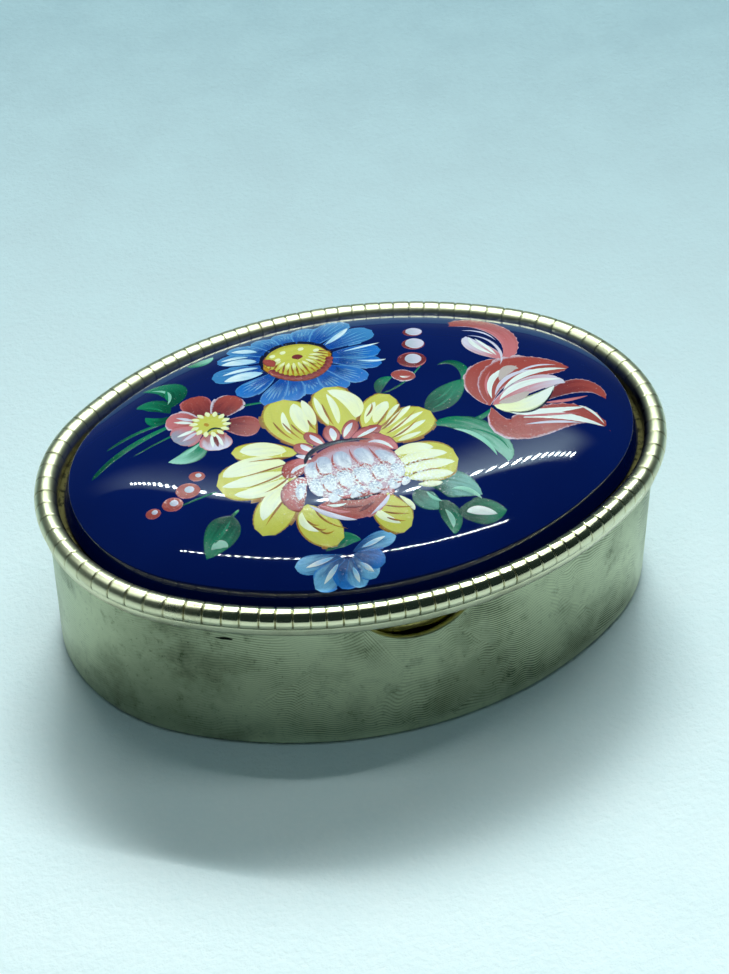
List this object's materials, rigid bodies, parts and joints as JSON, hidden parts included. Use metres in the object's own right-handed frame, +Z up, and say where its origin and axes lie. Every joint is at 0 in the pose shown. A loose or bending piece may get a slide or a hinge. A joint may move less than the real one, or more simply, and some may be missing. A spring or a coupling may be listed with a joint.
{
  "type": "pill box",
  "caption": "Small oval gilt metal pill box with a thumb notch and a hinged lid carrying a domed navy oval painted with flowers, set in a fluted rim.",
  "frame": {"origin": "middle of the underside, on the table, below the middle of the oval rim", "axes": "+Z up, X along the long axis of the oval, -Y towards the thumb notch at the front, +Y towards the hinge"},
  "size_m": [0.054, 0.04, 0.0181],
  "materials": {
    "worn_gilt_band": "brushed in fine wavy lines, worn and lightly tarnished",
    "gilt_plate": "satin",
    "gilt_hinge": "polished",
    "steel_pin": "drawn",
    "bright_gilt_rim": "bright, fluted",
    "polished_gilt_pan": "polished",
    "cement": "matte",
    "painted_enamel": "high gloss navy with painted flowers"
  },
  "bodies": {
    "base": {"side_band": "worn_gilt_band", "bottom_plate": "gilt_plate", "base_hinge_bearer": "gilt_hinge", "base_knuckle_left": "gilt_hinge", "base_knuckle_centre": "gilt_hinge", "base_knuckle_right": "gilt_hinge", "hinge_pin": "steel_pin"},
    "lid": {"lid_rim": "bright_gilt_rim", "lid_pan": "polished_gilt_pan", "lid_hinge_bearer": "gilt_hinge", "lid_knuckle_left": "gilt_hinge", "lid_knuckle_right": "gilt_hinge", "cement_bed": "cement", "painted_oval": "painted_enamel"}
  },
  "joints": [
    {"name": "lid_hinge", "type": "hinge", "parent": "base", "child": "lid", "pos_m": [0, 0.0194, 0.0131], "axis": [-1, 0, 0], "range_deg": [0, 105]}
  ]
}
